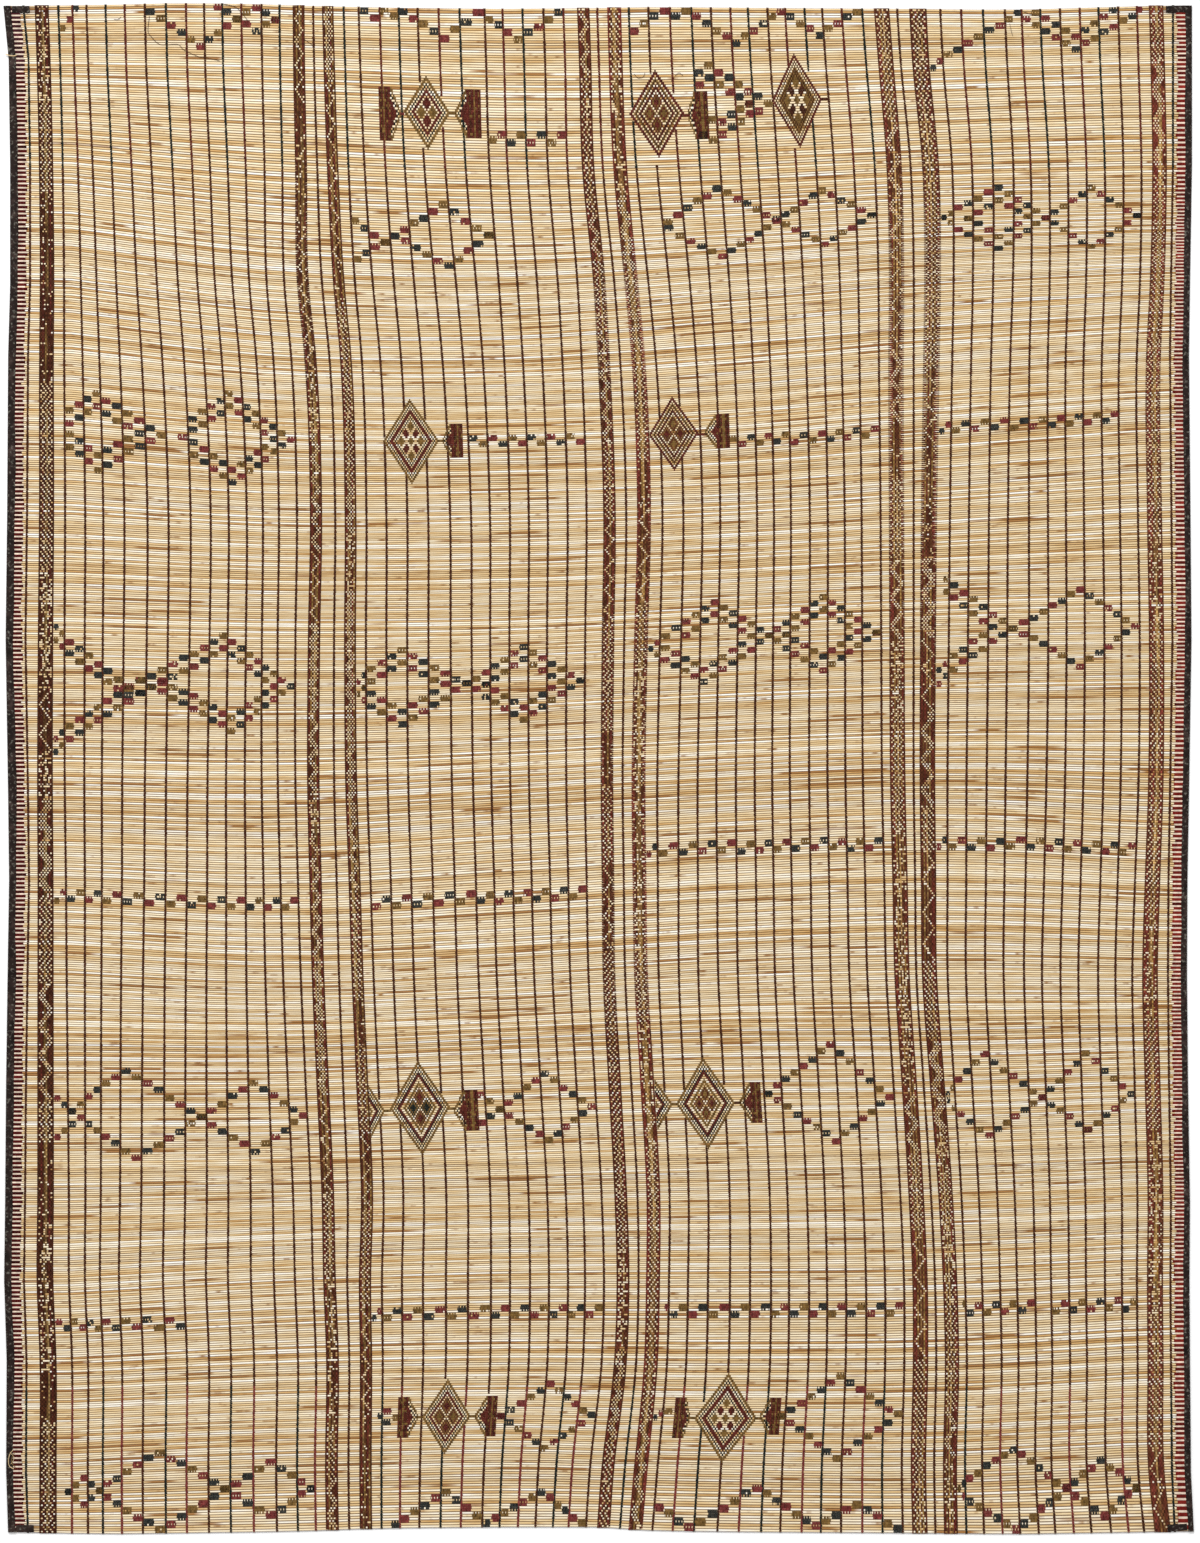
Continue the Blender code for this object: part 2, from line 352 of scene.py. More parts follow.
def stem_at(x, y):
    """The stem coordinate at a point."""
    s = np.arange(STEMS + 1)
    return float(np.interp(y, stem_y(np.full(STEMS + 1, float(x)), s), s))


def follow(line, s):
    """x and y where a line down the mat crosses the stem coordinates s."""
    s = np.asarray(s, float)
    y = stem_y(line(np.zeros_like(s)), s)
    for _ in range(4):
        x = line(y)
        y = stem_y(x, s)
    return x, y


def squeeze(x, y, z):
    """Presses z together where folded leather holds the stems."""
    from_left = x - side_x(y, "left")
    from_right = side_x(y, "right") - x
    left, right = (BINDING[side] + PRESS_EASE for side in ("left", "right"))
    binding = np.maximum(left - from_left, right - from_right)
    from_end = np.minimum(end_y(x, "top") - y, y - end_y(x, "bottom"))
    from_side = np.minimum(from_left, from_right)
    corner = np.minimum(CORNER_REACH + PRESS_EASE - from_side, CORNER_WIDTH + PRESS_EASE - from_end)
    held = np.clip(np.maximum(binding, corner) / PRESS_EASE, 0.0, 1.0)
    middle = FOLDED_HEIGHT / 2
    return z * (1 - held) + (middle + (z - middle) * PRESSED) * held


def grid_quads(rows, columns, start=0):
    """Faces of a grid of points, facing up where rows run to +Y and columns to +X."""
    index = start + np.arange(rows * columns).reshape(rows, columns)
    corners = (index[:-1, :-1], index[:-1, 1:], index[1:, 1:], index[1:, :-1])
    return np.stack(corners, -1).reshape(-1, 4)


class Gathered:
    """Points and faces gathered for one piece, with a leather colour for each face."""

    def __init__(self):
        self.points = []
        self.quads = []
        self.dyes = []
        self.count = 0

    def grid(self, points, dyes):
        """Adds a grid of points (rows, columns, 3); dyes is one colour or one for each face."""
        rows, columns = points.shape[:2]
        quads = grid_quads(rows, columns, self.count)
        self.points.append(points.reshape(-1, 3))
        self.quads.append(quads)
        self.dyes.append(np.broadcast_to(dyes, (len(quads), 3)))
        self.count += rows * columns

    def grids(self, points, dyes):
        """Adds many small grids of one size (grids, rows, columns, 3), with a colour for each grid."""
        many, rows, columns = points.shape[:3]
        one = grid_quads(rows, columns)
        starts = self.count + np.arange(many) * rows * columns
        self.points.append(points.reshape(-1, 3))
        self.quads.append((starts[:, None, None] + one[None]).reshape(-1, 4))
        self.dyes.append(np.repeat(dyes, len(one), axis=0))
        self.count += points.size // 3

    def piece(self, name, material, slot_name):
        points = np.concatenate(self.points)
        quads = np.concatenate(self.quads)
        obj = mesh_piece(name, points, quads, material)
        dyes = np.concatenate(self.dyes)
        colours = np.column_stack([dyes, np.ones(len(dyes))])
        values = obj.data.attributes.new("dye", "FLOAT_COLOR", "FACE")
        values.data.foreach_set("color", colours.astype(np.float32).ravel())


def mesh_piece(name, points, quads, material):
    """A piece of the mat from points in millimetres and four-sided faces."""
    mesh = bpy.data.meshes.new(name)
    mesh.vertices.add(len(points))
    mesh.vertices.foreach_set("co", (np.asarray(points) * MM).astype(np.float32).ravel())
    mesh.loops.add(quads.size)
    mesh.loops.foreach_set("vertex_index", quads.astype(np.int32).ravel())
    mesh.polygons.add(len(quads))
    mesh.polygons.foreach_set("loop_start", np.arange(0, quads.size, 4, dtype=np.int32))
    mesh.polygons.foreach_set("use_smooth", np.ones(len(quads), dtype=bool))
    mesh.update(calc_edges=True)
    mesh.materials.append(material)
    obj = bpy.data.objects.new(name, mesh)
    bpy.context.scene.collection.objects.link(obj)
    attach(obj, "root")
    return obj


def wander(count, spacing, amount):
    """A smooth random line of count values."""
    knots = rng.normal(0.0, amount, max(count // spacing, 2) + 2)
    return np.interp(np.linspace(0, len(knots) - 1, count), np.arange(len(knots)), knots)


# Materials


class Nodes:
    """A material's node tree, with short calls to add and link nodes."""

    def __init__(self, name):
        self.material = bpy.data.materials.new(name)
        self.material.use_nodes = True
        self.tree = self.material.node_tree
        self.shader = self.tree.nodes["Principled BSDF"]

    def add(self, kind, values=None, **settings):
        node = self.tree.nodes.new(kind)
        for key, value in settings.items():
            setattr(node, key, value)
        for key, value in (values or {}).items():
            if isinstance(value, bpy.types.NodeSocket):
                self.tree.links.new(value, node.inputs[key])
            else:
                node.inputs[key].default_value = value
        return node

    def math(self, operation, a, b=0.0):
        return self.add("ShaderNodeMath", {0: a, 1: b}, operation=operation).outputs[0]

    def times(self, a, b):
        return self.math("MULTIPLY", a, b)

    def attribute(self, name, output="Fac"):
        return self.add("ShaderNodeAttribute", attribute_name=name).outputs[output]

    def noise(self, vector, scale=1.0, detail=2.0):
        values = {"Vector": vector, "Scale": scale, "Detail": detail}
        return self.add("ShaderNodeTexNoise", values).outputs[0]

    def range(self, value, low, high, to_low=0.0, to_high=1.0):
        values = {"Value": value, "From Min": low, "From Max": high, "To Min": to_low, "To Max": to_high}
        return self.add("ShaderNodeMapRange", values).outputs[0]

    def mix(self, share, a, b, blend="MIX"):
        node = self.add("ShaderNodeMix", {0: share, 6: a, 7: b}, data_type="RGBA", blend_type=blend)
        return node.outputs[2]

    def combine(self, x, y, z=0.0):
        return self.add("ShaderNodeCombineXYZ", {"X": x, "Y": y, "Z": z}).outputs[0]

    def shade(self, colour, value):
        """The colour times a value."""
        return self.mix(1.0, colour, self.combine(value, value, value), "MULTIPLY")

    def ramp(self, value, stops):
        node = self.add("ShaderNodeValToRGB", {0: value})
        elements = node.color_ramp.elements
        while len(elements) < len(stops):
            elements.new(0.5)
        for element, (place, colour) in zip(elements, stops):
            element.position = place
            element.color = (*colour, 1.0)
        return node.outputs[0]

    def place(self):
        """The point on the object."""
        return self.add("ShaderNodeTexCoord").outputs["Object"]

    def split(self, vector):
        """The x, y and z of a point."""
        return self.add("ShaderNodeSeparateXYZ", {0: vector}).outputs

    def to_shader(self, **links):
        for name, value in links.items():
            socket = self.shader.inputs[name.replace("_", " ")]
            if isinstance(value, bpy.types.NodeSocket):
                self.tree.links.new(value, socket)
            else:
                socket.default_value = value
        return self.material

    def bump(self, height, strength, distance):
        values = {"Height": height, "Strength": strength, "Distance": distance}
        self.to_shader(Normal=self.add("ShaderNodeBump", values).outputs[0])


def stem_material():
    """Dry grass: each stem has its own tone, slow changes and brown streaks along it, and painted shade on
    its low sides, in the gaps between stems.
    """
    m = Nodes("dry_grass")
    x, y, z = m.split(m.place())
    stem = m.attribute("stem")
    slow = m.noise(m.combine(m.times(x, 10.0), m.times(stem, 19.0)), detail=3.0)
    value = m.math("ADD", m.times(m.attribute("tone"), 0.50), m.times(slow, 0.63))
    stops = (
        (0.22, (0.34, 0.140, 0.030)),
        (0.34, (0.58, 0.335, 0.110)),
        (0.50, (0.76, 0.550, 0.275)),
        (0.68, (0.90, 0.765, 0.525)),
        (0.86, (0.99, 0.96, 0.88)),
    )
    colour = m.ramp(value, stops)
    streak = m.noise(m.combine(m.times(x, 3.0), m.times(stem, 41.0)), detail=2.0)
    colour = m.mix(m.range(streak, 0.645, 0.675), colour, (0.36, 0.165, 0.040, 1.0))
    fleck = m.noise(m.combine(m.times(x, 22.0), m.times(stem, 77.0)), detail=3.0)
    colour = m.mix(m.range(fleck, 0.63, 0.74), colour, (0.36, 0.18, 0.055, 1.0))
    fibre = m.noise(m.combine(m.times(x, 40.0), m.times(y, 1800.0), m.times(z, 1800.0)), detail=3.0)
    colour = m.shade(colour, m.range(fibre, 0.3, 0.7, 0.85, 1.10))
    # Painted shade: the low sides of each stem, down in the gaps between stems, are painted dark brown
    height = m.range(z, 3.12 * MM, 3.80 * MM)
    colour = m.mix(height, (0.130, 0.046, 0.008, 1.0), colour)
    m.bump(fibre, 0.35, 0.0004)
    roughness = m.range(fibre, 0.3, 0.7, 0.36, 0.55)
    return m.to_shader(Base_Color=colour, Roughness=roughness, Specular_IOR_Level=0.30)


def leather_material():
    """Dyed leather, a little paler where it is rubbed on the tops of the stems."""
    m = Nodes("dyed_leather")
    place = m.place()
    blotch = m.noise(place, 130.0, 3.0)
    grain = m.noise(place, 1400.0, 3.0)
    colour = m.shade(m.attribute("dye", "Color"), m.range(blotch, 0.3, 0.7, 0.70, 1.25))
    worn = m.mix(1.0, colour, (0.018, 0.009, 0.005, 1.0), "ADD")
    height = m.range(m.split(place)["Z"], 4.3 * MM, 4.9 * MM)
    colour = m.mix(m.times(height, m.range(blotch, 0.50, 0.70)), colour, worn)
    m.bump(grain, 0.4, 0.0004)
    roughness = m.range(grain, 0.3, 0.7, 0.55, 0.75)
    return m.to_shader(Base_Color=colour, Roughness=roughness, Specular_IOR_Level=0.05)


def edge_material():
    """The dark folded leather at the edges, with grey rubbed places."""
    m = Nodes("edge_leather")
    place = m.place()
    blotch = m.noise(place, 60.0, 4.0)
    grain = m.noise(place, 900.0, 3.0)
    scuff = m.noise(place, 170.0, 3.0)
    stops = ((0.30, (0.009, 0.006, 0.005)), (0.55, (0.020, 0.012, 0.010)), (0.78, (0.062, 0.040, 0.034)))
    colour = m.mix(m.range(scuff, 0.56, 0.72), m.ramp(blotch, stops), (0.140, 0.130, 0.108, 1.0))
    m.bump(grain, 0.5, 0.0005)
    roughness = m.range(grain, 0.3, 0.7, 0.50, 0.70)
    return m.to_shader(Base_Color=colour, Roughness=roughness, Specular_IOR_Level=0.07)


# Stems


def stem_tube(first, last):
    """Points and faces of the stems from first up to last, and how many points each stem has."""
    many = last - first
    stems = np.arange(first, last)
    middle = np.stack([stem_y(x, stems + 0.5) for x in STATION_X], 1)
    left = side_x(middle[:, 0], "left") + LEATHER + 0.5
    right = side_x(middle[:, -1], "right") - LEATHER - 0.5
    xs = np.column_stack([left, np.broadcast_to(STATION_X, (many, len(STATION_X))), right])
    low = stem_y(xs, np.broadcast_to(stems[:, None] * 1.0, xs.shape))
    high = stem_y(xs, np.broadcast_to(stems[:, None] + 1.0, xs.shape))
    centre = (low + high) / 2
    half = (high - low) / 2 * STEM_FULLNESS
    lift = rng.normal(0.0, STEM_LIFT, (many, 1))
    angles = math.pi / 2 + np.arange(STEM_SIDES) * 2 * math.pi / STEM_SIDES
    ys = centre[..., None] + half[..., None] * np.cos(angles)
    rise = (STEM_TOP - STEM_BOTTOM) / 2
    zs = (STEM_TOP + STEM_BOTTOM) / 2 + (rise + np.minimum(lift, MOST_LIFT)[..., None]) * np.sin(angles)
    points = np.empty((many, xs.shape[1], STEM_SIDES, 3))
    points[..., 0] = xs[..., None]
    points[..., 1] = ys
    points[..., 2] = squeeze(points[..., 0], ys, np.broadcast_to(zs, ys.shape))
    rings = xs.shape[1]
    faces = []
    ring = np.arange(STEM_SIDES)
    after = (ring + 1) % STEM_SIDES
    for k in range(rings - 1):
        a = k * STEM_SIDES
        b = a + STEM_SIDES
        faces.append(np.column_stack([a + ring, a + after, b + after, b + ring]))
    end = (rings - 1) * STEM_SIDES
    caps = [(0, 3, 2, 1), (0, 5, 4, 3), (end, end + 1, end + 2, end + 3), (end, end + 3, end + 4, end + 5)]
    one = np.concatenate([*faces, np.array(caps)])
    quads = (np.arange(many)[:, None, None] * rings * STEM_SIDES + one[None]).reshape(-1, 4)
    return points.reshape(-1, 3), quads, rings * STEM_SIDES


def make_stems(material):
    """The stems, in pieces of about ninety stems each."""
    cuts = np.linspace(0, STEMS, STEM_PIECES + 1).astype(int)
    pieces = []
    for number, (first, last) in enumerate(zip(cuts, cuts[1:]), 1):
        points, quads, a_stem = stem_tube(first, last)
        obj = mesh_piece(f"stems_{number}", points, quads, material)
        many = last - first
        tones = rng.beta(1.6, 1.25, many)
        around = np.convolve(np.pad(tones, 2, mode="edge"), np.full(5, 0.2), mode="valid")
        tones = (tones + 0.55 * (0.56 - around)).clip(0.0, 1.0)
        for name, each in (("stem", rng.uniform(0, 1000, many)), ("tone", tones)):
            values = obj.data.attributes.new(name, "FLOAT", "POINT")
            values.data.foreach_set("value", np.repeat(each, a_stem).astype(np.float32))
        pieces.append(obj)
    return pieces


# Thin strips

# The strips' colours by turns near the top end and near the low end of each space, and at the two sides; the
# rest of a strip is brown
STRIP_DYES = {
    0: ("black maroon brown", "crimson brown black"),
    1: ("brown", "brown"),
    2: ("black brown maroon", "black crimson brown"),
    3: ("maroon", "black"),
    4: ("black brown maroon", "brown crimson black"),
    5: ("brown", "brown"),
    6: ("brown maroon black", "black brown crimson brown brown brown crimson brown brown crimson brown"),
    None: ("black", "black"),
}
TOP_DYES_ABOVE = 1200
LOW_DYES_BELOW = -1235


def strip_dye(space, strip, y):
    """The leather's colour at height y of a thin strip; space is None for the two side strips."""
    top, low = (names.split() for names in STRIP_DYES[space])
    names = np.full(y.shape, "brown", dtype=object)
    names[y < LOW_DYES_BELOW] = low[strip % len(low)]
    names[y > TOP_DYES_ABOVE] = top[strip % len(top)]
    return np.array([DYES[name] for name in names])


def beads(bundle, line, dye_of, panel=None):
    """A thin strip along a line: one bead of leather over each stem, sunk under the motifs of a panel."""
    s = np.arange(0, STEMS + 0.01, 0.5)
    x, y = follow(line, s)
    on_top = np.arange(len(s)) % 2 == 1
    number = np.arange(len(s)) // 2
    lean = np.where(number % 2 == 0, BEAD_LEAN, -BEAD_LEAN) + rng.normal(0, 0.12, len(s))
    x = x + np.where(on_top, lean, 0.0)
    y = y.copy()
    y[0] -= STRIP_PAST_END
    y[-1] += STRIP_PAST_END
    middle_z = np.where(on_top, *BEAD_MIDDLE)
    side_z = np.where(on_top, *BEAD_SIDE)
    middle_z[[0, -1]] = BEAD_END
    side_z[[0, -1]] = STRIP_END
    sunk = np.where(under_motif(panel, x, s), SUNK, 0.0)
    middle_z, side_z = middle_z - sunk, side_z - sunk
    wide = np.where(on_top, BEAD_HALF, BEAD_HALF * BEAD_NECK) * rng.normal(1.0, 0.06, len(s))
    points = np.empty((len(s), 3, 3))
    for column, (shift, z) in enumerate(((-1, side_z), (0, middle_z), (1, side_z))):
        points[:, column, 0] = x + shift * wide
        points[:, column, 1] = y
        points[:, column, 2] = squeeze(x, y, z)
    shade = rng.normal(1.0, 0.14, (STEMS, 1)).clip(0.6, 1.5).repeat(2, axis=0)
    dyes = dye_of((y[1:] + y[:-1]) / 2) * shade
    bundle.grid(points, dyes.repeat(2, axis=0))


def under_strip(bundle, line):
    """The part of a thin strip that shows on the underside."""
    s = np.arange(0, STEMS + 0.01, 3.0)
    x, y = follow(line, s)
    z = np.where(np.arange(len(s)) % 2 == 0, *UNDERSIDE_HEIGHTS)
    points = np.empty((len(s), 2, 3))
    for column, shift in enumerate((1, -1)):
        points[:, column] = np.column_stack([x + shift * UNDERSIDE_HALF, y, z])
    bundle.grid(points, np.array(DYES["brown"]))


def edge_strip_x(side, y):
    """x of the outermost thin strip of a side."""
    return side_x(y, side) + INWARD[side] * EDGE_STRIP[side]


def make_strips(material):
    """The thin strips in four pieces, one for each panel and the narrow space at its right."""
    bundles = [Gathered() for _ in range(4)]
    for space, spaces in enumerate(SPACES):
        panel = space // 2
        for strip in range(len(spaces.top) - 1):
            line = partial(strip_x, space, strip)
            dye_of = partial(strip_dye, space, strip)
            beads(bundles[panel], line, dye_of, panel if space % 2 == 0 else None)
            under_strip(bundles[panel], line)
    for side, bundle in (("left", bundles[0]), ("right", bundles[3])):
        line = partial(edge_strip_x, side)
        beads(bundle, line, partial(strip_dye, None, 0))
        under_strip(bundle, line)
    for number, bundle in enumerate(bundles, 1):
        bundle.piece(f"thin_strips_{number}", material, "strip_leather")


# Bands


def band_half(band, y):
    """Half the width of a band at height y."""
    top, bottom = BAND_WIDTHS[band]
    return (bottom + (top - bottom) * (y - COURSE_Y[0]) / (COURSE_Y[-1] - COURSE_Y[0])) / 2


def bare_dots(pattern, rows, strands):
    """Where the stems show in one stretch of a band, as an array (stem, strand)."""
    strand = np.arange(strands)[None, :]
    swing = 3 if pattern == "ripples" else strands - 3
    turn = np.abs(rows % (2 * swing) - swing)[:, None] + 1
    if pattern == "chevrons":
        lines = rng.integers(1, 4)
        return np.isin(strand - turn, 2 * np.arange(lines) - lines + 1)
    if pattern in ("waves", "ripples"):
        return (strand - turn) % 3 == 0
    if pattern == "slants":
        return (strand + rng.choice((-1, 1)) * rows[:, None]) % 3 == 0
    return rng.random((len(rows), strands)) < (0.30 if pattern == "speckle" else 0.08)


def band_over(band, strands):
    """Which strands lie over which stems, as an array (stem, strand): a stem shows where one goes under."""
    dots = np.zeros((STEMS, strands), bool)
    first = 0
    while first < STEMS:
        last = min(first + int(rng.integers(18, 60)), STEMS)
        pattern = rng.choice(PATTERNS, p=PATTERN_SHARES[band])
        dots[first:last] = bare_dots(pattern, np.arange(last - first), strands)
        first = last
    dots |= rng.random(dots.shape) < MISSED
    dots[:, [0, -1]] = False
    return ~dots


def strand_dyes(name, strand):
    """A strand's colour over each stem: painted highlight and shade by turns from stem to stem, with random
    tone, and fading to brown by stretches.
    """
    # Painted highlight and shade: cells lighter and darker by turns from stem to stem, as the crests catch
    # the light; random tone on top
    tone_and_painted_light = np.where((np.arange(STEMS) + strand) % 2 == 0, 1.35, 0.80)
    tone_and_painted_light = tone_and_painted_light * rng.normal(1.0, 0.2, STEMS).clip(0.5, 1.7)
    fade = (0.6 + wander(STEMS, 18, 0.6)).clip(0.0, 1.0)[:, None]
    mixed = np.array(DYES[name]) * fade + np.array(DYES["brown"]) * (1 - fade)
    return mixed * tone_and_painted_light[:, None]


def make_band(band, material):
    """One wide band: strands side by side that go over and under the stems."""
    colours = BAND_STRANDS[band].split()
    strands = len(colours)
    over = band_over(band, strands)
    bundle = Gathered()
    s = np.arange(0, STEMS + 0.01, 0.5)
    x, y = follow(partial(band_x, band), s)
    y = y.copy()
    y[0] -= BAND_PAST_END
    y[-1] += BAND_PAST_END
    width = 2 * band_half(band, y)
    step = width / strands
    for strand in range(strands):
        up = over[:, strand]
        z = np.empty(len(s))
        z[1::2] = np.where(up, CREST + BAND_RIDGE * ((strand + np.arange(STEMS)) % 2), BAND_UNDER)
        before = np.concatenate([up[:1], up])
        after = np.concatenate([up, up[-1:]])
        both, one, none = BAND_BETWEEN
        z[0::2] = np.where(before & after, both, np.where(before | after, one, none))
        z[[0, -1]] = STRIP_END
        middle = x - width / 2 + step * (strand + 0.5)
        points = np.empty((len(s), 2, 3))
        for column, shift in enumerate((-1, 1)):
            wide = step * 0.5 * rng.normal(1.0, 0.05, len(s))
            points[:, column, 0] = middle + shift * wide
            points[:, column, 1] = y
            points[:, column, 2] = z
        bundle.grid(points, BAND_LIGHT[band] * strand_dyes(colours[strand], strand).repeat(2, axis=0))
    bundle.piece(f"band_{band + 1}", material, "strip_leather")


# Motifs


def panel_columns(panel, y):
    """x of the bands' edges, the thin strips and the middles between them, across one panel at height y."""
    space = 2 * panel
    lines = [float(band_x(space, y)) + band_half(space, y)]
    lines += [float(strip_x(space, strip, y)) for strip in range(len(SPACES[space].top) - 1)]
    lines.append(float(band_x(space + 1, y)) - band_half(space + 1, y))
    between = [(a + b) / 2 for a, b in zip(lines, lines[1:])]
    return sorted(lines + between)


def spot(pixel):
    """A place on the mat from a place in the photograph."""
    x, y = pixel[0] - PHOTO_ORIGIN[0], PHOTO_ORIGIN[1] - pixel[1]
    return x * PHOTO_MM_A_PIXEL, y * PHOTO_MM_A_PIXEL


def column_of(panel, pixel):
    """Which half space of a panel holds a place in the photograph, and its stem coordinate."""
    x, y = spot(pixel)
    columns = panel_columns(panel, y)
    column = int(np.clip(np.searchsorted(columns, x) - 1, 0, len(columns) - 2))
    return column, stem_at(x, y)


def cells(bundle, x0, x1, stem, dye, spread=0.0, low=VALLEY):
    """Leather over one stem for each cell: low line, crest and low line, spread onto the next stems."""
    many = len(stem)
    points = np.empty((many, 3, 2, 3))
    for row, (rise, z) in enumerate(((-spread, low), (0.5, CREST), (1.0 + spread, low))):
        for column, x in enumerate((x0, x1)):
            y = stem_y(x, stem + rise)
            points[:, row, column, 0] = x
            points[:, row, column, 1] = y
            points[:, row, column, 2] = z
    bundle.grids(points, dye)


def block(bundle, x0, x1, first_stem, name):
    """A small woven block, often with slits where the stems show through one of its rows."""
    strands = max(2, round((x1 - x0) / STRAND))
    cuts = np.linspace(x0 + BLOCK_GAP, x1 - BLOCK_GAP, strands + 1)
    rows, columns = np.meshgrid(np.arange(BLOCK_STEMS), np.arange(strands), indexing="ij")
    rows, columns = rows.ravel(), columns.ravel()
    open_row = rng.integers(0, BLOCK_STEMS)
    first_open = rng.integers(0, 2)
    slit = (rows == open_row) & (columns % 2 == first_open) & (rng.random() < SLIT_CHANCE)
    outer = np.where(rows == 1, 0.0, BLOCK_CORNER)
    left = cuts[columns] + STRAND_GAP + np.where(columns == 0, outer, 0.0)
    right = np.where(slit, cuts[columns] + STRAND * 0.45, cuts[columns + 1] - STRAND_GAP)
    right = right - np.where(columns == strands - 1, outer, 0.0)
    right = np.maximum(right, left + 0.4)
    shown = rng.random(len(rows)) > MISSED
    dyes = np.array(DYES[name]) * rng.normal(1.0, 0.22, (len(rows), 1)).clip(0.5, 1.6)
    cells(bundle, left[shown], right[shown], first_stem + rows[shown], dyes[shown])


def block_line(bundle, panel, pixels, start, turn):
    """Blocks along a line through places in the photograph, one in each half space that it crosses."""
    stops = [column_of(panel, pixel) for pixel in pixels]
    made = [stops[0]]
    for (c0, s0), (c1, s1) in zip(stops, stops[1:]):
        steps = abs(c1 - c0)
        way = 1 if c1 > c0 else -1
        made += [(c0 + way * k, s0 + (s1 - s0) * k / steps) for k in range(1, steps + 1)]
    for number, (column, s) in enumerate(made):
        first = int(round(s - BLOCK_STEMS / 2))
        if 0 <= first <= STEMS - BLOCK_STEMS:
            x0, x1 = half_space(panel, column, s)
            block(bundle, x0, x1, first, CYCLE[(start + turn * number) % len(CYCLE)])


def half_space(panel, column, s):
    """The two sides of a half space at a stem coordinate."""
    y = float(stem_y(0.0, s))
    for _ in range(2):
        columns = panel_columns(panel, y)
        y = float(stem_y((columns[column] + columns[column + 1]) / 2, s))
    return columns[column], columns[column + 1]


def checker_row(bundle, panel, first, last, start, turn, low):
    """A row of blocks that step up and down by turns; low is 0 or 1, the half spaces of the low ones."""
    c0, s0 = column_of(panel, first)
    c1, s1 = column_of(panel, last)
    for column in range(c0, c1 + 1):
        k = column - c0
        step = -BLOCK_STEMS / 2 if column % 2 == low else BLOCK_STEMS / 2
        s = s0 + (s1 - s0) * k / (c1 - c0) + step
        x0, x1 = half_space(panel, column, s)
        block(bundle, x0, x1, int(round(s - BLOCK_STEMS / 2)), CYCLE[(start + turn * k) % len(CYCLE)])


def stitch(bundle, panel, centre, strand_width, chosen):
    """Cells around a centre; chosen has (strand, stem, colour name) counted from the centre."""
    x, y = spot(centre)
    middle_stem = int(stem_at(x, y))
    left, right = band_x(2 * panel, y), band_x(2 * panel + 1, y)
    share = (x - left) / (right - left)
    strand = np.array([c[0] for c in chosen], float)
    stem = np.array([c[1] for c in chosen]) + middle_stem
    names = np.array([c[2] for c in chosen])
    height = stem_y(np.full(len(stem), x), np.clip(stem + 0.5, 0, STEMS))
    left, right = band_x(2 * panel, height), band_x(2 * panel + 1, height)
    at = left + (right - left) * share + strand * strand_width
    inside = (stem >= 0) & (stem < STEMS)
    inside &= (at > left + band_half(2 * panel, y)) & (at < right - band_half(2 * panel + 1, y))
    at, stem, names = at[inside], stem[inside], names[inside]
    dyes = np.array([DYES[name] for name in names]) * rng.normal(1.0, 0.2, (len(stem), 1)).clip(0.5, 1.6)
    half = strand_width / 2 - CELL_GAP
    cells(bundle, at - half, at + half, stem, dyes)


def under_motif(panel, x, s):
    """Whether places at x and stem coordinate s lie under a diamond or solid block of a panel."""
    under = np.zeros(len(s), bool)
    for d in (d for d in DIAMONDS if d.panel == panel):
        cx, cy = spot(d.centre)
        reach = d.half_height * PHOTO_MM_A_PIXEL / STEM_PITCH
        strand_width = d.half_width * PHOTO_MM_A_PIXEL / reach
        under |= np.abs(x - cx) / strand_width + np.abs(s - stem_at(cx, cy) - 0.5) < reach
    for h in (h for h in HOURGLASSES if h.panel == panel):
        cx, cy = spot(h.apex)
        side = 1 if h.base > h.apex[0] else -1
        near = spot((h.base, 0))[0]
        far = near + side * h.block_width * PHOTO_MM_A_PIXEL
        high = h.half_height * PHOTO_MM_A_PIXEL / STEM_PITCH
        inside = (x > min(near, far)) & (x < max(near, far))
        under |= inside & (np.abs(s - stem_at(cx, cy) - 0.5) < high)
    return under


def diamond(bundle, panel, centre, half_width, half_height, rings, lozenges, hearts):
    """A concentric diamond around small lozenges; a ring is named by its colour, or None for bare stems."""
    x, y = spot(centre)
    high = half_height * PHOTO_MM_A_PIXEL
    reach = round((stem_at(x, y + high) - stem_at(x, y - high)) / 2 - 0.3)
    strand_width = half_width * PHOTO_MM_A_PIXEL / (reach + 0.5)
    chosen = []
    for r in range(-reach, reach + 1):
        for k in range(-(reach - abs(r)), reach - abs(r) + 1):
            ring = reach - abs(k) - abs(r)
            if ring < len(rings):
                name = rings[ring]
            else:
                name = lozenge_cell(k, r, reach - len(rings), lozenges, hearts)
            if name:
                chosen.append((k, r, name))
    stitch(bundle, panel, centre, strand_width, chosen)


def lozenge_cell(k, r, reach, lozenges, hearts):
    """The colour of a cell in the middle of a diamond, or None; lozenges is how many lie along a side."""
    size = (2 * reach + 2) / lozenges
    u, v = k + r + reach + 1, k - r + reach + 1
    i, j = int(u / size), int(v / size)
    near = min(u - i * size, (i + 1) * size - u, v - j * size, (j + 1) * size - v)
    if near < 1.0:
        return None
    if 2.0 <= near < 3.0 and size > 8:
        return "olive" if hearts[(i + j) % 2] != "olive" else "maroon"
    return hearts[(i + j) % 2]


